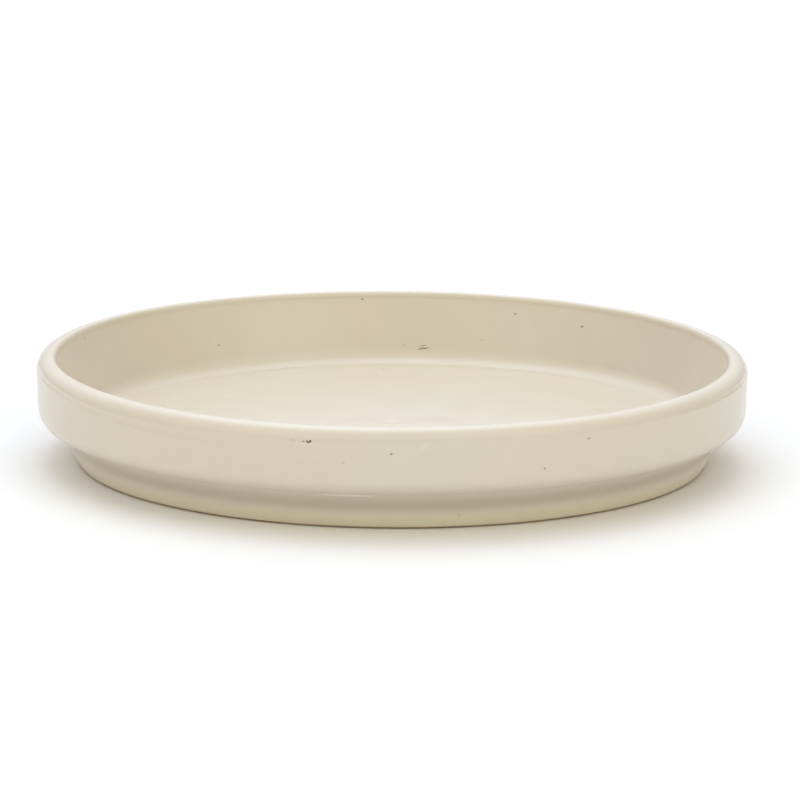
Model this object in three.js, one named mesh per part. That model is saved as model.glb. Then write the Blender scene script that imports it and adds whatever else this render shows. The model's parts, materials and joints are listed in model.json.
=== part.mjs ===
// A shallow round ceramic bonsai tray, 300 mm across, in cream glaze. Millimetres, +Z up.
// The origin is the centre of the foot ring's circle, on the surface that the tray stands on.
//
// The tray is one fired stoneware body under two separate coats of glaze. The upper coat runs from the
// well over the lip and the band, and down to the glaze line at the edge of the foot ring. The under
// coat covers the recess inside the foot ring. The bare ring between them stood on the kiln shelf.
import * as THREE from "three";

// Driving dimensions, measured on the finished, glazed surface. r is a radius and z a height.
const RIM_RADIUS = 150;
const HEIGHT = 44;
const FLOOR_Z = 14.6;
const RECESS_Z = 5.6;

// The coats of glaze. The bond gap keeps each coat clear of the clay under it.
const GLAZE = 0.5;
const BOND_GAP = 0.05;

// The lip: a small inside corner and a broad outside one, which meet at the crest.
const LIP_WIDTH = 8.4;
const LIP_IN = { r: 2, z: 2.5 };
const LIP_OUT = { r: LIP_WIDTH - LIP_IN.r, z: 5.7 };

// The band that stands proud below the lip. Its rounded lower edge turns under by an angle, in degrees.
const BAND_TAPER = 0.5;
const BAND_EDGE = 6.7;
const BAND_EDGE_Z = 23.1;
const BAND_TURN = 64;

// The inside corner: a low ramp round the floor, and a curve from it up to the sloping wall.
const FLOOR_RADIUS = 124.6;
const RAMP_BEND = { r: 125.9, z: FLOOR_Z };
const RAMP_START = { r: 127.1, z: 15.25 };
const RAMP_END = { r: 128.6, z: 16.05 };
const CORNER = { r: 131.5, z: 17.6 };
const WALL_START = { r: 132.7, z: 20.4 };

// The cove that runs in under the band, and the foot wall below it, which bows inwards.
const COVE = { r: 137, z: 12.8 };
const FOOT_TOP = { r: 135.5, z: 8 };
const FOOT_BOW = { r: 134.2, z: 4.6 };
const GLAZE_LINE = { r: 132.1, z: 0.9 };

// The foot ring, bare clay, and the corner of the recess inside it.
const FOOT_OUT = 131.5;
const FOOT_IN = 119.8;
const FOOT_EDGE = 0.8;
const RECESS_START = { r: 119.4, z: 3 };
const RECESS_CORNER = { r: 119, z: RECESS_Z };
const RECESS_RADIUS = 116;

// How finely the turn and the curves are divided.
const TURN_STEPS = 64;
const CURVE_STEP = 2.6;

// The glazed upper surface, from the middle of the floor to the glaze line.
function upperSurface() {
  const lipInR = RIM_RADIUS - LIP_WIDTH;
  const crestR = lipInR + LIP_IN.r;
  const bandR = RIM_RADIUS - BAND_TAPER;
  const path = new THREE.Path();
  path.moveTo(0, FLOOR_Z);
  path.lineTo(FLOOR_RADIUS, FLOOR_Z);
  path.quadraticCurveTo(RAMP_BEND.r, RAMP_BEND.z, RAMP_START.r, RAMP_START.z);
  path.lineTo(RAMP_END.r, RAMP_END.z);
  path.quadraticCurveTo(CORNER.r, CORNER.z, WALL_START.r, WALL_START.z);
  path.lineTo(lipInR, HEIGHT - LIP_IN.z);
  path.absellipse(crestR, HEIGHT - LIP_IN.z, LIP_IN.r, LIP_IN.z, Math.PI, Math.PI / 2, true);
  path.absellipse(crestR, HEIGHT - LIP_OUT.z, LIP_OUT.r, LIP_OUT.z, Math.PI / 2, 0, true);
  path.lineTo(bandR, BAND_EDGE_Z);
  const turn = THREE.MathUtils.degToRad(BAND_TURN);
  path.absarc(bandR - BAND_EDGE, BAND_EDGE_Z, BAND_EDGE, 0, -turn, true);
  path.quadraticCurveTo(COVE.r, COVE.z, FOOT_TOP.r, FOOT_TOP.z);
  path.quadraticCurveTo(FOOT_BOW.r, FOOT_BOW.z, GLAZE_LINE.r, GLAZE_LINE.z);
  return divided(path);
}

// The bare foot ring, from its outer edge to its inner one.
function footRing() {
  const path = new THREE.Path();
  path.absarc(FOOT_OUT - FOOT_EDGE, FOOT_EDGE, FOOT_EDGE, 0, -Math.PI / 2, true);
  path.lineTo(FOOT_IN + FOOT_EDGE, 0);
  path.absarc(FOOT_IN + FOOT_EDGE, FOOT_EDGE, FOOT_EDGE, -Math.PI / 2, -Math.PI, true);
  return divided(path);
}

// The glazed recess, from the inner side of the foot ring to the middle.
function underSurface() {
  const path = new THREE.Path();
  path.moveTo(RECESS_START.r, RECESS_START.z);
  path.quadraticCurveTo(RECESS_CORNER.r, RECESS_CORNER.z, RECESS_RADIUS, RECESS_Z);
  path.lineTo(0, RECESS_Z);
  return divided(path);
}

// The points of a path: straight runs stay whole, and curves are divided evenly.
function divided(path) {
  const points = path.curves.flatMap((curve) => {
    const steps = curve.isLineCurve ? 1 : Math.ceil(curve.getLength() / CURVE_STEP);
    return curve.getPoints(steps);
  });
  return points.filter((p, i) => i === 0 || p.distanceTo(points[i - 1]) > 0.001);
}

// Moves a profile into the clay, to the right of its direction of travel. Its ends move square to
// the run that they are on, so that a point on the axis stays there.
function inset(points, depth) {
  return points.map((p, i) => {
    const before = points[Math.max(i - 1, 0)];
    const after = points[Math.min(i + 1, points.length - 1)];
    const along = after.clone().sub(before).normalize();
    return new THREE.Vector2(p.x + along.y * depth, p.y - along.x * depth);
  });
}

// Turns a profile into a solid of revolution about +Z. Profiles here run down the outside, and a
// lathe's faces point outwards when its profile runs up the outside.
function turned(name, profile, material) {
  const geometry = new THREE.LatheGeometry(profile.toReversed(), TURN_STEPS);
  geometry.rotateX(Math.PI / 2);
  const mesh = new THREE.Mesh(geometry, material);
  mesh.name = name;
  return mesh;
}

// A coat lies between the finished surface and the clay under it. Its profile starts on the axis.
function coat(name, surface, material) {
  const back = inset(surface, GLAZE - BOND_GAP).toReversed();
  const startsOnAxis = surface[0].x === 0;
  return turned(name, startsOnAxis ? [...surface, ...back] : [...back, ...surface], material);
}

const clay = new THREE.MeshStandardMaterial({ color: "#b79f80", roughness: 0.9, metalness: 0 });
const glaze = new THREE.MeshStandardMaterial({ color: "#ddd3bd", roughness: 0.35, metalness: 0 });

const upper = upperSurface();
const under = underSurface();
const clayProfile = [...inset(upper, GLAZE), ...footRing(), ...inset(under, GLAZE)];

const tray = new THREE.Group();
tray.add(turned("stoneware_body", clayProfile, clay));
tray.add(coat("glaze_coat", upper, glaze));
tray.add(coat("underside_glaze", under, glaze));

export default tray;
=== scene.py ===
"""A shallow round bonsai tray in cream-glazed stoneware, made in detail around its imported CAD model.

Everything is in metres, +Z up, in the CAD model's own frame. Three pieces take the place of the CAD's
three nodes: the fired clay body, the coat of glaze over it, and the coat of glaze in the recess under it.
Each is a body of revolution whose surface is then worked: throwing rings, tool lines, a roll of glaze
at the glaze line, pits and chips, and the slight warp that a wide flat piece takes in the kiln.
"""

import json
import math

import bmesh
import bpy
import numpy as np
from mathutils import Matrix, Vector


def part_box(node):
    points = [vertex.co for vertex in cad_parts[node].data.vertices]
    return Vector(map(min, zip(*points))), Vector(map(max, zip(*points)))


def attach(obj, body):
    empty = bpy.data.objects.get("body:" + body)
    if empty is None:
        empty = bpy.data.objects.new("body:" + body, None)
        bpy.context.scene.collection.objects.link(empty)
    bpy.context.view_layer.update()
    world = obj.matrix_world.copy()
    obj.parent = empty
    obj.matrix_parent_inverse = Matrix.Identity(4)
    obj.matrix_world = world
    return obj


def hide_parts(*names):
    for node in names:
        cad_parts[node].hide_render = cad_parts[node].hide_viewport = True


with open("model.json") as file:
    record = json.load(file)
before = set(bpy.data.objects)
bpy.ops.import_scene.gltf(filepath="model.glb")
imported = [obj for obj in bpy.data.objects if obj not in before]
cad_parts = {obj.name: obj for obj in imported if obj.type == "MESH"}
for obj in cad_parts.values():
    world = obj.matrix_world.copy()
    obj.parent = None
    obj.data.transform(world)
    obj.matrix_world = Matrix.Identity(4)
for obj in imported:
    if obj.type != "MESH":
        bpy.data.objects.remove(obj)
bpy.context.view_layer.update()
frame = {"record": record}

MM = 0.001
mounts = {mount["name"]: mount["pos_m"] for mount in frame["record"]["mounts"]}
coat_low, coat_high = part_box("glaze_coat")
under_low, under_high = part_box("underside_glaze")

# Sizes that the CAD model gives.
RIM_RADIUS = coat_high.x
HEIGHT = coat_high.z
FLOOR_Z = mounts["well_floor"][2]
GLAZE_LINE_Z = coat_low.z
RECESS_START_Z = under_low.z

# The coats of glaze, and the gap that keeps each clear of the clay.
GLAZE = 0.5 * MM
BOND_GAP = 0.05 * MM
COAT = GLAZE - BOND_GAP
RECESS_Z = under_high.z - COAT

# The lip, the band under it and the band's rounded lower edge, which turns under by an angle.
LIP_WIDTH = 8.4 * MM
LIP_IN = (2.0 * MM, 2.5 * MM)
LIP_OUT = (LIP_WIDTH - LIP_IN[0], 5.7 * MM)
BAND_TAPER = 0.5 * MM
BAND_EDGE = 6.7 * MM
BAND_EDGE_Z = 23.1 * MM
BAND_TURN = math.radians(64)

# The low ramp round the well's floor and the curve up to the wall, the cove under the band, the
# foot wall and the bare foot ring.
FLOOR_RADIUS = 124.6 * MM
RAMP_BEND = (125.9 * MM, FLOOR_Z)
RAMP_START = (127.1 * MM, 15.25 * MM)
RAMP_END = (128.6 * MM, 16.05 * MM)
CORNER = (131.5 * MM, 17.6 * MM)
WALL_START = (132.7 * MM, 20.4 * MM)
COVE = (137.0 * MM, 12.8 * MM)
FOOT_TOP = (135.5 * MM, 8.0 * MM)
FOOT_BOW = (134.2 * MM, 4.6 * MM)
GLAZE_LINE = (132.1 * MM, GLAZE_LINE_Z)
FOOT_OUT = 131.5 * MM
FOOT_IN = 119.8 * MM
FOOT_EDGE = 0.8 * MM
RECESS_START = (119.4 * MM, RECESS_START_Z)
RECESS_CORNER = (119.0 * MM, RECESS_Z)
RECESS_RADIUS = 116.0 * MM

# The mesh: columns round the tray, where round it the seam is that closes each surface, and how far
# from each end of an outline its first and last rows are.
COLUMNS = 288
SEAM = math.radians(30)
FIRST_ROW = 1.0 * MM


# ---- Outlines: (radius, height) points ---------------------------------------------------------


def straight(start, end):
    """Points along a straight run."""
    return np.linspace(start, end, 60)


def bend(start, control, end):
    """Points along a quadratic curve."""
    t = np.linspace(0, 1, 80)[:, None]
    start, control, end = (np.array(p) for p in (start, control, end))
    return (1 - t) ** 2 * start + 2 * t * (1 - t) * control + t**2 * end


def arc(centre, radii, first, last):
    """Points along part of an ellipse, from one angle to another in degrees."""
    a = np.radians(np.linspace(first, last, 80))
    return np.column_stack([centre[0] + radii[0] * np.cos(a), centre[1] + radii[1] * np.sin(a)])


def outward(points):
    """Unit normals on the left of the direction of travel, which is outside the solid."""
    along = np.gradient(points, axis=0)
    along /= np.linalg.norm(along, axis=1, keepdims=True)
    return np.column_stack([-along[:, 1], along[:, 0]])


def inset(points, depth):
    """The same run, moved into the solid."""
    return points - depth * outward(points)


def bead(start, end, along):
    """A half round from one face of a coat to the other, past the end of the coat."""
    t = np.linspace(0, math.pi, 24)[:, None]
    middle = (start + end) / 2
    radius = np.linalg.norm(end - start) / 2
    return middle + (start - middle) * np.cos(t) + along * radius * np.sin(t)


class Outline:
    """Runs of points joined end to end. A place on it is u, the distance walked from its start.

    Each run is its name, its points, and the spacing of the mesh's rows along it.
    """

    def __init__(self, runs):
        points = np.vstack([run for _, run, _ in runs])
        steps = np.linalg.norm(np.diff(points, axis=0), axis=1)
        self.points = points
        self.walked = np.concatenate([[0], np.cumsum(steps)])
        self.length = self.walked[-1]
        self.spans = {}
        rows = [[FIRST_ROW]]
        first = 0
        for name, run, spacing in runs:
            start, end = self.walked[first], self.walked[first + len(run) - 1]
            self.spans[name] = (start, end)
            rows.append(np.linspace(start, end, max(2, round((end - start) / spacing)) + 1)[1:])
            first += len(run)
        rows = np.concatenate(rows)
        self.rows = rows[(rows >= FIRST_ROW) & (rows <= self.length - FIRST_ROW)]

    def at(self, u):
        """The radius, the height and the outward normal at u."""
        r, z = (np.interp(u, self.walked, self.points[:, i]) for i in (0, 1))
        reach = 0.25 * MM
        ahead, behind = u + reach, u - reach
        along_r, along_z = (
            np.interp(ahead, self.walked, self.points[:, i])
            - np.interp(behind, self.walked, self.points[:, i])
            for i in (0, 1)
        )
        size = np.hypot(along_r, along_z)
        return r, z, -along_z / size, along_r / size

    def find(self, run, radius=None, height=None):
        """u where a run comes nearest to a radius or a height."""
        u = np.linspace(*self.spans[run], 400)
        r, z, _, _ = self.at(u)
        miss = abs(r - radius) if height is None else abs(z - height)
        return u[miss.argmin()]


def upper_runs(depth=0.0, fine=1.0):
    """The surface from the middle of the well to the glaze line, or one that deep under it."""
    lip_in_r = RIM_RADIUS - LIP_WIDTH
    crest_r = lip_in_r + LIP_IN[0]
    band_r = RIM_RADIUS - BAND_TAPER
    lip_in_z, lip_out_z = HEIGHT - LIP_IN[1], HEIGHT - LIP_OUT[1]
    edge_r = band_r - BAND_EDGE
    edge = arc((edge_r, BAND_EDGE_Z), (BAND_EDGE, BAND_EDGE), 0, -math.degrees(BAND_TURN))
    runs = [
        ("floor", straight((0, FLOOR_Z), (FLOOR_RADIUS, FLOOR_Z)), 2.0),
        ("ramp_bend", bend((FLOOR_RADIUS, FLOOR_Z), RAMP_BEND, RAMP_START), 0.6),
        ("ramp", straight(RAMP_START, RAMP_END), 0.6),
        ("corner", bend(RAMP_END, CORNER, WALL_START), 0.7),
        ("wall", straight(WALL_START, (lip_in_r, lip_in_z)), 0.8),
        ("lip_in", arc((crest_r, lip_in_z), LIP_IN, 180, 90), 0.4),
        ("lip_out", arc((crest_r, lip_out_z), LIP_OUT, 90, 0), 0.5),
        ("band", straight((RIM_RADIUS, lip_out_z), (band_r, BAND_EDGE_Z)), 0.6),
        ("edge", edge, 0.6),
        ("cove", bend(edge[-1], COVE, FOOT_TOP), 0.6),
        ("foot", bend(FOOT_TOP, FOOT_BOW, GLAZE_LINE), 0.6),
    ]
    return [(name, inset(points, depth), spacing * MM * fine) for name, points, spacing in runs]


def recess_runs(depth=0.0, fine=1.0):
    """The surface from the foot ring's inner side to the middle of the recess, or one under it."""
    runs = [
        ("recess_corner", bend(RECESS_START, RECESS_CORNER, (RECESS_RADIUS, RECESS_Z)), 0.5),
        ("recess", straight((RECESS_RADIUS, RECESS_Z), (0, RECESS_Z)), 2.5),
    ]
    return [(name, inset(points, depth), spacing * MM * fine) for name, points, spacing in runs]


def ring_runs(start, end):
    """The bare foot ring, between the clay under one coat and the clay under the other."""
    out_r, in_r = FOOT_OUT - FOOT_EDGE, FOOT_IN + FOOT_EDGE
    edge = (FOOT_EDGE, FOOT_EDGE)
    return [
        ("ring_out", straight(start, (FOOT_OUT, FOOT_EDGE)), 0.3 * MM),
        ("ring_edge_out", arc((out_r, FOOT_EDGE), edge, 0, -90), 0.3 * MM),
        ("ring", straight((out_r, 0), (in_r, 0)), 0.5 * MM),
        ("ring_edge_in", arc((in_r, FOOT_EDGE), edge, -90, -180), 0.3 * MM),
        ("ring_in", straight((FOOT_IN, FOOT_EDGE), end), 0.4 * MM),
    ]


def backed(runs, depth, spacing, from_axis):
    """A coat's outline: its surface, the bead at its edge, and its back, which is that deep."""
    surface = np.vstack([points for _, points, _ in runs])
    back = ("back", inset(surface, depth)[::-1], spacing)
    if from_axis:
        along = surface[-1] - surface[-2]
        ends = surface[-1], back[1][0]
    else:
        along = surface[1] - surface[0]
        ends = back[1][-1], surface[0]
        along = -along
    round_edge = ("bead", bead(*ends, along / np.linalg.norm(along)), 0.12 * MM)
    return Outline([*runs, round_edge, back] if from_axis else [back, round_edge, *runs])


def clay_outline():
    """The fired clay: the surfaces under both coats, joined by the bare foot ring."""
    upper, recess = upper_runs(GLAZE, fine=3), recess_runs(GLAZE, fine=3)
    return Outline([*upper, *ring_runs(upper[-1][1][-1], recess[0][1][0]), *recess])


# ---- The worked surface ------------------------------------------------------------------------


def field(places, wavelength, seed):
    """A smooth random field of about -1 to 1, with one bump about every wavelength."""
    draw = np.random.default_rng(seed)
    waves = draw.normal(size=(20, 3))
    waves /= np.linalg.norm(waves, axis=1, keepdims=True)
    waves *= 2 * math.pi / (wavelength * draw.uniform(0.7, 1.5, (20, 1)))
    phases = draw.uniform(0, 2 * math.pi, 20)
    return np.cos(places @ waves.T + phases).sum(1) / math.sqrt(20)


def ease(x, low, high):
    """0 below low and 1 above high, with a smooth rise between them."""
    t = np.clip((x - low) / (high - low), 0, 1)
    return t * t * (3 - 2 * t)


def hump(x, middle, width):
    """A smooth bump of height 1."""
    return np.exp(-(((x - middle) / width) ** 2))


def warped(places):
    """The whole tray as it came out of the kiln: nothing at the foot, most at the rim.

    The well's floor isn't level: it has sunk on the -X side and is a little high on the +X side.
    """
    x, y, z = places.T
    share = ease(z, 2 * MM, HEIGHT)
    angle = np.arctan2(y, x)
    radius = np.hypot(x, y)
    oval = 1 + share * (0.0011 * np.cos(2 * angle + 0.8) + 0.0005 * np.cos(3 * angle + 2.1))
    oval += (1 - ease(z, 3 * MM, 12 * MM)) * (0.003 + 0.002 * np.cos(2 * angle))
    lifted = 0.60 + 0.05 * np.sin(angle) + 0.45 * np.cos(2 * angle) + 0.05 * np.cos(5 * angle)
    lifted += 0.55 * hump(angle, -1.45, 0.4)
    in_well = ease(z, 7 * MM, 13 * MM) * (1 - ease(z, 20 * MM, 36 * MM))
    in_well *= 1 - ease(radius, 126 * MM, 138 * MM)
    sunk = in_well * (0.4 - 0.8 * x / FLOOR_RADIUS)
    return np.column_stack([x * oval, y * oval, z + (share * lifted - sunk) * MM])


class Spot:
    """A pit, chip or smudge: an oval at a place on the surface, turned by an angle.

    depth is how deep it goes in, and tone how dark it is, from -1, pale, to 1, dark brown. A pale
    tone also serves as a painted highlight.
    """

    def __init__(self, u, angle, length, width, depth, tone, turn=0.0):
        self.u, self.angle = u, (angle - SEAM) % (2 * math.pi) + SEAM
        self.length, self.width = length, width
        self.depth, self.tone, self.turn = depth, tone, turn

    def offsets(self, u, angle, radius):
        """How far along and across the spot each place is."""
        along, up = (angle - self.angle) * radius, self.u - u
        c, s = math.cos(self.turn), math.sin(self.turn)
        return along * c + up * s, up * c - along * s

    def distance(self, u, angle, radius):
        """0 at the middle of the oval and 1 at its edge."""
        along, across = self.offsets(u, angle, radius)
        return np.hypot(2 * along / self.length, 2 * across / self.width)


def refine(bm, outline, spots):
    """Divides the flat grid of (angle, u) more finely round each spot."""
    for margin in (1.6 * MM, 0.7 * MM, 0.25 * MM):
        middles = np.array([face.calc_center_median()[:2] for face in bm.faces])
        radius = outline.at(middles[:, 1])[0]
        near = np.zeros(len(middles), bool)
        for spot in spots:
            along, across = spot.offsets(middles[:, 1], middles[:, 0], radius)
            inside = np.hypot(
                along / (spot.length / 2 + margin), across / (spot.width / 2 + margin)
            )
            near |= inside < 1
        bm.faces.ensure_lookup_table()
        edges = {edge for i in np.flatnonzero(near) for edge in bm.faces[i].edges}
        ordered = sorted(edges, key=lambda edge: edge.index)
        bmesh.ops.subdivide_edges(bm, edges=ordered, cuts=1, use_grid_fill=True)
        bm.edges.index_update()


def flat_grid(outline):
    """A grid of faces over angle and u, before it is wrapped round the axis."""
    angles = np.linspace(SEAM, SEAM + 2 * math.pi, COLUMNS + 1)
    rows = outline.rows
    grid = np.arange(len(rows) * (COLUMNS + 1)).reshape(len(rows), COLUMNS + 1)
    corners = np.stack([grid[:-1, :-1], grid[1:, :-1], grid[1:, 1:], grid[:-1, 1:]], axis=-1)
    uu, aa = np.meshgrid(rows, angles, indexing="ij")
    places = np.column_stack([aa.ravel(), uu.ravel(), np.zeros(uu.size)])
    mesh = bpy.data.meshes.new("flat")
    mesh.from_pydata(places.tolist(), [], corners.reshape(-1, 4).tolist())
    bm = bmesh.new()
    bm.from_mesh(mesh)
    bpy.data.meshes.remove(mesh)
    return bm, grid


def close_on_axis(bm, row, height):
    """Fills the small hole round the axis with a fan of faces. The row runs round the hole."""
    middle = bm.verts.new((0, 0, height))
    for a, b in zip(row, row[1:] + row[:1]):
        bm.faces.new((middle, a, b))


def turned(name, outline, work, spots=()):
    """A closed body of revolution.

    work(u, angle, places) gives how far the surface is raised, and how thick the glaze lies there,
    from -1, thin, to 1, pooled. That second value also paints light and shade into the glaze's
    colour: paler, as painted light, towards -1, and darker, as painted shade, towards 1.
    """
    bm, grid = flat_grid(outline)
    refine(bm, outline, spots)
    bm.verts.ensure_lookup_table()
    flat = np.array([v.co[:2] for v in bm.verts])
    angle, u = flat.T
    r, z, normal_r, normal_z = outline.at(u)
    around = np.column_stack([np.cos(angle), np.sin(angle)])
    places = np.column_stack([around * r[:, None], z])
    normals = np.column_stack([around * normal_r[:, None], normal_z])
    raised, pooled = work(u, angle, places)
    marks = np.zeros(len(u))
    for spot in spots:
        distance = spot.distance(u, angle, r)
        raised -= spot.depth * (1 - ease(distance, 0.45, 1.0))
        raised += 0.15 * spot.depth * hump(distance, 1.15, 0.22)
        marks += spot.tone * (1 - ease(distance, 0.7, 1.1))
    places = warped(places + normals * raised[:, None])
    for vert, place in zip(bm.verts, places):
        vert.co = place
    # The pool layer carries the glaze's thickness together with painted shade and painted light.
    for layer_name, values in (("mark", marks), ("pool", pooled)):
        layer = bm.verts.layers.float.new(layer_name)
        for vert, value in zip(bm.verts, values):
            vert[layer] = value
    first = [bm.verts[i] for i in grid[0, :-1]]
    last = [bm.verts[i] for i in grid[-1, :-1]]
    seam = {bm.verts[j]: bm.verts[i] for i, j in zip(grid[:, 0], grid[:, -1])}
    bmesh.ops.weld_verts(bm, targetmap=seam)
    close_on_axis(bm, first, np.mean([v.co.z for v in first]))
    close_on_axis(bm, last[::-1], np.mean([v.co.z for v in last]))
    bmesh.ops.recalc_face_normals(bm, faces=bm.faces)
    mesh = bpy.data.meshes.new(name)
    bm.to_mesh(mesh)
    bm.free()
    mesh.polygons.foreach_set("use_smooth", [True] * len(mesh.polygons))
    piece = bpy.data.objects.new(name, mesh)
    bpy.context.scene.collection.objects.link(piece)
    return piece


def glaze_work(outline):
    """How the main coat is raised, with rings in the well and tool lines on the band, and its pools,
    which also paint shade under the band's lower edge and in the cove, and light on the foot wall.
    """
    crest_u = outline.spans["lip_out"][0]
    foot_u, edge_u = outline.spans["foot"]
    floor_end = outline.spans["floor"][1]
    band_start, band_end = outline.spans["band"]

    def work(u, angle, places):
        radius = np.hypot(places[:, 0], places[:, 1])
        soft = field(places, 38 * MM, 11)
        fine = field(places, 11 * MM, 12)
        raised = 0.05 * soft + 0.012 * fine

        # Throwing rings on the floor of the well, which wander a little and fade towards its corner.
        ring = np.cos(2 * math.pi * radius / (7.5 * MM) + angle + 1.4 * soft)
        ring *= ease(radius, 6 * MM, 20 * MM) * (1 - ease(u, floor_end - 12 * MM, floor_end))
        raised += 0.014 * ring

        # The line that a tool left under the lip. On the -X side it wanders down the band as it
        # comes forward, on the +X side it is short, and round the rest it is faint.
        turn = np.degrees((angle + math.pi) % (2 * math.pi) - math.pi)
        left = ease(turn, -178, -166) * (1 - ease(turn, -130, -110))
        right = ease(turn, -42, -27) * (1 - ease(turn, -12, -4))
        drop = 4.2 + 4.4 * ease(turn, -168, -122) * (1 - ease(turn, -110, -60))
        line = hump(places[:, 2], HEIGHT - drop * MM, (0.6 + 0.3 * left) * MM)
        outside = ease(u, crest_u + 1 * MM, crest_u + 3 * MM) * (1 - ease(u, band_end, band_end + MM))
        raised -= (0.04 + 0.28 * left + 0.22 * right) * line * outside

        # Faint lines along the band, from a sponge held against the turning clay.
        round_tray = np.column_stack([np.cos(angle), np.sin(angle), 0 * angle]) * RIM_RADIUS
        on_band = ease(u, band_start - MM, band_start + 3 * MM)
        on_band *= 1 - ease(u, band_end, band_end + 5 * MM)
        height = places[:, 2] + 0.7 * MM * field(round_tray, 120 * MM, 15)
        lines = np.cos(2 * math.pi * height / (3.1 * MM))
        lines += 0.7 * np.cos(2 * math.pi * height / (1.9 * MM) + 1)
        raised += 0.012 * lines * on_band * (0.6 + 0.5 * field(round_tray, 70 * MM, 16))

        # The glaze gathers in a thicker roll just above the line where it was wiped away.
        roll = hump(u, edge_u - 0.8 * MM, 0.9 * MM)
        raised += 0.08 * roll * (1 + 0.4 * field(round_tray, 25 * MM, 17))

        # It hangs thicker from the band's lower edge, pools in the cove and is thin on the foot wall.
        # The same value paints shade, darker under the band's lower edge and in the cove, and paints
        # light, paler down the foot wall.
        pooled = ease(u, band_end + 9 * MM, band_end + 19 * MM)
        pooled += 0.4 * hump(u, band_end + 5.5 * MM, 2.5 * MM)
        pooled -= 2 * ease(u, foot_u - 2.5 * MM, foot_u + 4.5 * MM)

        # None of this reaches the back of the coat, which lies on the clay.
        return raised * MM * (u <= edge_u), pooled

    return work


def clay_work(outline):
    """How the clay is cut: turning lines and grit on the bare ring, nothing under the glaze."""
    start, end = outline.spans["ring_out"][0], outline.spans["ring_in"][1]

    def work(u, angle, places):
        radius = np.hypot(places[:, 0], places[:, 1])
        bare = ease(u, start, start + 0.5 * MM) * (1 - ease(u, end - 0.5 * MM, end))
        lines = np.cos(2 * math.pi * radius / (1.7 * MM) + 0.8 * field(places, 30 * MM, 21))
        grit = np.maximum(field(places, 2.2 * MM, 22) - 0.6, 0)
        low = -0.05 * lines - 0.10 * grit + 0.02 * field(places, 9 * MM, 23)
        return np.minimum(low, 0) * MM * bare, 0 * u

    return work


def recess_work(outline):
    """How the recess's glaze is raised: wide turning rings and a slight unevenness."""
    surface = outline.spans["recess_corner"][0]

    def work(u, angle, places):
        radius = np.hypot(places[:, 0], places[:, 1])
        soft = field(places, 30 * MM, 31)
        rings = np.cos(2 * math.pi * radius / (9 * MM) + 2 * angle + 0.7 * soft)
        raised = 0.05 * rings * ease(radius, 4 * MM, 15 * MM) + 0.05 * soft
        raised += 0.012 * field(places, 8 * MM, 32)
        return raised * MM * (u >= surface), 0 * u

    return work


# ---- Marks -------------------------------------------------------------------------------------


def spot(outline, run, azimuth, size, depth, tone, turn=0, radius=None, height=None):
    """One mark on a run of the surface. Sizes are in millimetres and angles in degrees."""
    at = outline.find(
        run,
        radius=None if radius is None else radius * MM,
        height=None if height is None else height * MM,
    )
    length, width = (value * MM for value in size)
    return Spot(at, math.radians(azimuth), length, width, depth * MM, tone, math.radians(turn))


def large_marks(outline):
    """The marks that the eye finds: a chip and dots on the band, a streak in the cove painted pale as a
    highlight, nicks in the well's far wall, and a few pits elsewhere. Most azimuths, heights and radii
    were computed by carrying the marks' places in the photo through the camera.
    """
    lip, band, cove, wall, floor = "lip_out", "band", "cove", "wall", "floor"
    return [
        spot(outline, lip, -103.5, (1.3, 0.7), 0.12, 0.65, height=38.5),
        spot(outline, lip, -102.95, (1.2, 0.7), 0.20, 1.0, turn=-60, height=38.6),
        spot(outline, band, -102.7, (1.3, 0.7), 0.20, 1.0, height=38.2),
        spot(outline, lip, -102.4, (1.1, 1.0), 0.20, 1.0, turn=60, height=38.7),
        spot(outline, lip, -105.2, (3.4, 0.9), 0.06, 0.12, height=38.6),
        spot(outline, band, -90, (1.1, 0.9), 0.25, 0.7, height=34.3),
        spot(outline, band, -58.1, (1.0, 0.9), 0.25, 0.6, height=36.3),
        spot(outline, band, -65.7, (0.9, 0.9), 0.25, 0.6, height=26),
        spot(outline, band, -97.3, (1.3, 0.9), 0.12, 0.2, height=30.3),
        spot(outline, band, -85, (4.5, 3.0), -0.04, -0.35, turn=60, height=37.3),
        # A raised roll of glaze in the cove; its pale tone is a painted highlight.
        spot(outline, cove, -97, (26, 1.8), -0.22, -0.9, height=15.9),
        spot(outline, wall, 84.1, (5.6, 0.5), 0.12, 0.85, turn=9, height=20.5),
        spot(outline, wall, 84.2, (3.0, 0.4), 0.10, 0.75, turn=13, height=21.6),
        spot(outline, wall, 87.9, (1.2, 0.7), 0.10, 0.35, height=21.7),
        spot(outline, wall, 72.8, (1.3, 0.7), 0.10, 0.25, height=25),
        spot(outline, wall, 67.1, (1.1, 0.8), 0.20, 0.7, height=36.8),
        spot(outline, wall, 52.9, (1.6, 0.7), 0.20, 0.7, height=34.7),
        spot(outline, wall, 124.7, (1.1, 0.8), 0.20, 0.6, height=25.4),
        spot(outline, wall, 160, (1.2, 0.8), 0.20, 0.5, height=40),
        spot(outline, wall, 95.6, (1.3, 1.0), 0.15, 0.6, height=40.8),
        spot(outline, floor, 92.1, (1.8, 2.2), 0.15, 0.4, turn=30, radius=114.6),
        spot(outline, floor, 138, (1.6, 1.6), 0.15, 0.3, radius=58.5),
        spot(outline, floor, 120.2, (2.6, 1.5), 0.10, 0.25, radius=43.7),
        spot(outline, floor, 53.4, (2.0, 1.5), 0.10, 0.25, radius=48.4),
        spot(outline, lip, -151.9, (1.1, 0.8), 0.15, 0.6, height=43.9),
        spot(outline, lip, -126.1, (1.0, 0.7), 0.15, 0.5, height=43.99),
        spot(outline, "foot", -78.2, (1.0, 0.9), 0.15, 0.4, height=5.8),
    ]


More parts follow.
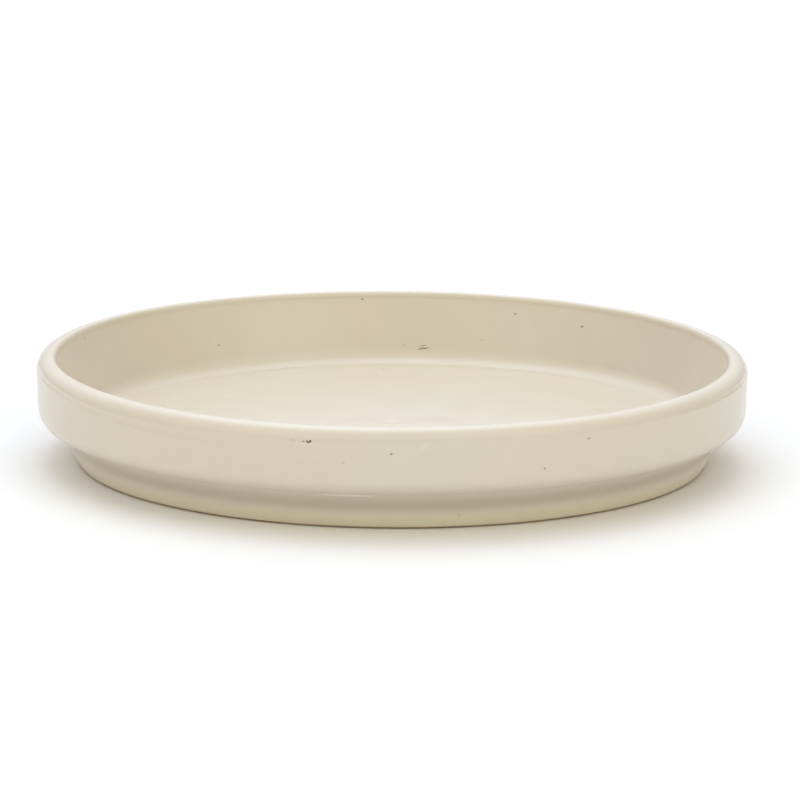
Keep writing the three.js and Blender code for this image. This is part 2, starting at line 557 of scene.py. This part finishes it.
def small_marks(outline, start, end, count, seed):
    """Pinholes scattered evenly between two places, away from the axis and the seam."""
    draw = np.random.default_rng(seed)
    marks = []
    while len(marks) < count:
        u = draw.uniform(start, end)
        angle = SEAM + draw.uniform(0.1, 2 * math.pi - 0.1)
        size = draw.uniform(0.45, 0.85) * MM
        tone = draw.choice([0.05, 0.15, 0.35])
        radius = outline.at(u)[0]
        if radius > 18 * MM and draw.random() < radius / RIM_RADIUS:
            marks.append(Spot(u, angle, size, size * draw.uniform(0.7, 1), 0.3 * size, tone))
    return marks


# ---- Materials ---------------------------------------------------------------------------------

# The glaze, from where it has pooled to where it is thin on the foot wall, and the marks in it.
# The pooled colour is also painted shade under the band and in the cove, and the foot wall's
# colour is also painted light.
CREAM_POOLED_PAINTED_SHADE = (0.600, 0.530, 0.430, 1)
CREAM_THICK = (0.735, 0.665, 0.555, 1)
CREAM_THIN = (0.725, 0.680, 0.570, 1)
CREAM_FOOT_PAINTED_LIGHT = (0.790, 0.735, 0.580, 1)
CREAM_RECESS = (0.700, 0.610, 0.460, 1)
MOTTLE_BUFF = (0.62, 0.50, 0.36, 1)
SPECK_BROWN = (0.30, 0.20, 0.11, 1)
MARK_DARK = (0.10, 0.055, 0.03, 1)
# The pale mark colour also paints a highlight, on the streak in the cove.
MARK_PALE_AND_HIGHLIGHT = (0.86, 0.84, 0.78, 1)
GLAZE_ROUGHNESS = 0.23
GLAZE_IOR = 1.5

# The bare clay, and the grog in it.
CLAY_LIGHT = (0.50, 0.37, 0.24, 1)
CLAY_DARK = (0.42, 0.29, 0.18, 1)
CLAY_TOASTED = (0.36, 0.19, 0.09, 1)
GROG_DARK = (0.16, 0.09, 0.05, 1)
GROG_PALE = (0.72, 0.62, 0.48, 1)
CLAY_IOR = 1.45


class Nodes:
    """The node tree of a material or of the world, built one node at a time."""

    def __init__(self, owner, shader="Principled BSDF", places="Object"):
        owner.use_nodes = True
        self.owner = owner
        self.tree = owner.node_tree
        self.shader = self.tree.nodes[shader]
        self.places = self.add("ShaderNodeTexCoord").outputs[places]

    def add(self, kind, inputs=None, **settings):
        """A new node. inputs maps a socket's name or number to a value or to another node's output."""
        node = self.tree.nodes.new(kind)
        for key, value in settings.items():
            setattr(node, key, value)
        for key, value in (inputs or {}).items():
            self.set(node.inputs[key], value)
        return node

    def set(self, socket, value):
        """Links a socket to an output, or sets its constant."""
        if isinstance(value, bpy.types.NodeSocket):
            self.tree.links.new(value, socket)
        else:
            socket.default_value = value

    def noise(self, size, detail=2.0, roughness=0.5, places=None):
        """Smooth noise whose features are about that wide, from 0 to 1."""
        inputs = {
            "Vector": places or self.places,
            "Scale": 1 / size,
            "Detail": detail,
            "Roughness": roughness,
        }
        return self.add("ShaderNodeTexNoise", inputs).outputs["Fac"]

    def vector(self, operation, a, b, output="Vector"):
        """One sum on two vectors, or on a vector and a scale."""
        inputs = {0: a, 3 if operation == "SCALE" else 1: b}
        return self.add("ShaderNodeVectorMath", inputs, operation=operation).outputs[output]

    def remap(self, value, low, high, to_low=0.0, to_high=1.0):
        """A value from one range to another, held inside it."""
        inputs = {0: value, 1: low, 2: high, 3: to_low, 4: to_high}
        return self.add("ShaderNodeMapRange", inputs).outputs[0]

    def math(self, operation, a, b=0.0):
        """One sum on two numbers."""
        return self.add("ShaderNodeMath", {0: a, 1: b}, operation=operation).outputs[0]

    def mix(self, share, a, b):
        """A mix of two colours."""
        node = self.add("ShaderNodeMix", data_type="RGBA")
        self.set(node.inputs[0], share)
        self.set(node.inputs[6], a)
        self.set(node.inputs[7], b)
        return node.outputs[2]

    def attribute(self, name):
        """A number that the mesh carries at each vertex."""
        return self.add("ShaderNodeAttribute", attribute_name=name).outputs["Fac"]

    def bump(self, layers):
        """Bumps stacked on each other: each layer is a height from 0 to 1 and its depth in metres."""
        normal = None
        for height, depth in layers:
            inputs = {"Height": height, "Distance": depth, "Strength": 1.0}
            if normal is not None:
                inputs["Normal"] = normal
            normal = self.add("ShaderNodeBump", inputs).outputs[0]
        return normal


def glaze_material(name, thick, thin):
    """Cream glaze, satin, over buff clay: its hue drifts, and it is browner where it is thick.
    Under the band and in the cove it is also painted darker as shade, and on the foot wall painted
    paler as light.
    """
    n = Nodes(bpy.data.materials.new(name))
    drift = n.remap(n.noise(45 * MM, 1), 0.3, 0.7)
    mottle = n.remap(n.noise(9 * MM, 0), 0.1, 0.9, 0, 0.08)
    colour = n.mix(drift, thick, thin)
    colour = n.mix(mottle, colour, MOTTLE_BUFF)
    pool = n.attribute("pool")
    # Painted shade: darker and browner under the band's lower edge and in the cove, where the glaze also
    # pools.
    colour = n.mix(n.remap(pool, 0, 1), colour, CREAM_POOLED_PAINTED_SHADE)
    # Painted light: paler down the foot wall, where the glaze is also thin.
    colour = n.mix(n.remap(pool, 0, -1), colour, CREAM_FOOT_PAINTED_LIGHT)
    speckle = n.add("ShaderNodeTexVoronoi", {"Vector": n.places, "Scale": 1 / (7 * MM)})
    speck = n.remap(speckle.outputs["Distance"], 0.015, 0.035, 1, 0)
    rare = n.add("ShaderNodeSeparateColor", {0: speckle.outputs["Color"]}).outputs[0]
    speck = n.math("MULTIPLY", speck, n.remap(rare, 0.80, 0.82))
    colour = n.mix(n.math("MULTIPLY", speck, 0.35), colour, SPECK_BROWN)
    mark = n.attribute("mark")
    dark = n.remap(mark, 0.0, 1.0)
    pale_and_highlight = n.remap(mark, -1.0, 0.0, 1, 0)
    colour = n.mix(dark, colour, MARK_DARK)
    # Pale marks, and the painted highlight on the cove's streak.
    colour = n.mix(n.math("MULTIPLY", pale_and_highlight, 0.5), colour, MARK_PALE_AND_HIGHLIGHT)
    streaks = n.noise(1.0, 0, 0.5, n.vector("MULTIPLY", n.places, (14, 14, 520)))
    peel = n.noise(2.4 * MM, 0)
    satin = n.remap(n.noise(18 * MM, 0), 0.1, 0.9, GLAZE_ROUGHNESS - 0.03, GLAZE_ROUGHNESS + 0.03)
    n.set(n.shader.inputs["Base Color"], colour)
    n.set(n.shader.inputs["Roughness"], n.math("ADD", satin, n.math("MULTIPLY", dark, 0.4)))
    n.set(n.shader.inputs["Normal"], n.bump([(streaks, 0.015 * MM), (peel, 0.008 * MM)]))
    n.shader.inputs["IOR"].default_value = GLAZE_IOR
    return n.owner


def clay_material(name):
    """Bare buff stoneware, toasted towards the glaze line, with dark and pale grog in it."""
    n = Nodes(bpy.data.materials.new(name))
    drift = n.remap(n.noise(30 * MM, 3), 0.35, 0.65)
    colour = n.mix(drift, CLAY_LIGHT, CLAY_DARK)
    for size, threshold, tint in ((1.3, 0.70, GROG_DARK), (1.9, 0.78, GROG_PALE)):
        grog = n.add("ShaderNodeTexVoronoi", {"Vector": n.places, "Scale": 1 / (size * MM)})
        grain = n.remap(grog.outputs["Distance"], 0.18, 0.30, 1, 0)
        rare = n.add("ShaderNodeSeparateColor", {0: grog.outputs["Color"]}).outputs[0]
        share = n.math("MULTIPLY", grain, n.remap(rare, threshold, threshold + 0.03))
        colour = n.mix(n.math("MULTIPLY", share, 0.7), colour, tint)
    height = n.add("ShaderNodeSeparateXYZ", {0: n.places}).outputs[2]
    toast = n.remap(height, 0.4 * MM, 2.2 * MM)
    colour = n.mix(n.math("MULTIPLY", toast, 0.6), colour, CLAY_TOASTED)
    n.set(n.shader.inputs["Base Color"], colour)
    n.set(n.shader.inputs["Roughness"], n.remap(n.noise(4 * MM, 4), 0.3, 0.7, 0.78, 0.95))
    n.set(n.shader.inputs["Normal"], n.bump([(n.noise(0.9 * MM, 4, 0.7), 0.06 * MM)]))
    n.shader.inputs["IOR"].default_value = CLAY_IOR
    return n.owner


# ---- The pieces --------------------------------------------------------------------------------

def add_piece(node, outline, work, material, spots=()):
    """A worked piece that takes the place of one CAD node."""
    piece = turned(node + "_worked", outline, work(outline), spots)
    piece.data.materials.append(material)
    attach(piece, "root")
    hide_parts(node)
    return piece


coat = backed(upper_runs(), COAT, 5 * MM, from_axis=True)
add_piece(
    "glaze_coat",
    coat,
    glaze_work,
    glaze_material("cream_glaze", CREAM_THICK, CREAM_THIN),
    large_marks(coat) + small_marks(coat, 0, coat.spans["foot"][1] - 2 * MM, 36, 5),
)
under_coat = backed(recess_runs(), COAT, 6 * MM, from_axis=False)
add_piece(
    "underside_glaze",
    under_coat,
    recess_work,
    glaze_material("recess_glaze", CREAM_THIN, CREAM_RECESS),
    small_marks(under_coat, *under_coat.spans["recess"], 24, 6),
)
add_piece("stoneware_body", clay_outline(), clay_work, clay_material("bare_stoneware"))


# ---- The stage ---------------------------------------------------------------------------------

# The camera looks along +Y, down by the elevation, at a point near the middle of the tray.
CAMERA_ELEVATION = math.radians(12.0)
# The distance, lens, roll and aim began in a least-squares fit to the photo's outline.
CAMERA_DISTANCE = 2.408
CAMERA_LENS = 255.8
CAMERA_ROLL = math.radians(0.42)
AIM_RIGHT = 3.41 * MM
AIM_UP = 5.34 * MM
AIM_HEIGHT = 0.13 * RIM_RADIUS
TABLE_REACH = 4.0

# Light from all round, and each soft light: azimuth and elevation in degrees, tightness, and its
# red, green and blue. The colours are the rounded output of a least-squares fit to the photo, not
# set by hand.
EVEN_LIGHT = (0.23, 0.14, 0.11)
LIGHTS = (
    (95, 64, 12, (2.46, 2.84, 3.38)),
    (90, 28, 6, (0.82, 0.91, 1.02)),
    (150, 40, 6, (0.31, 0.38, 0.40)),
    (225, 38, 6, (0.98, 1.04, 0.92)),
    (315, 38, 6, (1.25, 1.32, 1.13)),
)


def add_floor():
    """A plain pale table, far wider than the view."""
    mesh = bpy.data.meshes.new("table")
    reach = TABLE_REACH
    corners = [(-reach, -reach, 0), (reach, -reach, 0), (reach, reach, 0), (-reach, reach, 0)]
    mesh.from_pydata(corners, [], [(0, 1, 2, 3)])
    table = bpy.data.objects.new("table", mesh)
    bpy.context.scene.collection.objects.link(table)
    n = Nodes(bpy.data.materials.new("pale_table"))
    tint = n.mix(n.noise(0.3, 2), (0.90, 0.90, 0.90, 1), (0.92, 0.92, 0.92, 1))
    n.set(n.shader.inputs["Base Color"], tint)
    n.shader.inputs["Roughness"].default_value = 0.9
    n.shader.inputs["Specular IOR Level"].default_value = 0.2
    mesh.materials.append(n.owner)


def add_lights():
    """Soft lights all round, far off: each is a round glow on the world's sky."""
    n = Nodes(bpy.data.worlds.new("studio"), "Background", "Generated")
    total = EVEN_LIGHT
    for azimuth, elevation, tightness, light in LIGHTS:
        a, e = math.radians(azimuth), math.radians(elevation)
        axis = (math.cos(a) * math.cos(e), math.sin(a) * math.cos(e), math.sin(e))
        off = n.math("SUBTRACT", n.vector("DOT_PRODUCT", n.places, axis, output="Value"), 1)
        glow = n.math("EXPONENT", n.math("MULTIPLY", off, tightness))
        total = n.vector("ADD", total, n.vector("SCALE", light, glow))
    n.set(n.shader.inputs["Color"], total)
    bpy.context.scene.world = n.owner


def add_camera():
    """The camera, a long lens a little above the rim."""
    data = bpy.data.cameras.new("camera")
    data.sensor_width = 36
    data.lens = CAMERA_LENS
    data.clip_start, data.clip_end = 0.1, 100
    camera = bpy.data.objects.new("camera", data)
    back = Vector((0, -math.cos(CAMERA_ELEVATION), math.sin(CAMERA_ELEVATION)))
    right = Vector((1, 0, 0))
    up = back.cross(right)
    target = Vector((0, 0, AIM_HEIGHT)) + right * AIM_RIGHT + up * AIM_UP
    camera.location = target + back * CAMERA_DISTANCE
    camera.rotation_euler = (-back).to_track_quat("-Z", "Y").to_euler()
    camera.rotation_euler.rotate_axis("Z", CAMERA_ROLL)
    bpy.context.scene.collection.objects.link(camera)
    bpy.context.scene.camera = camera


add_floor()
add_lights()
add_camera()
bpy.context.scene.view_settings.view_transform = "Standard"
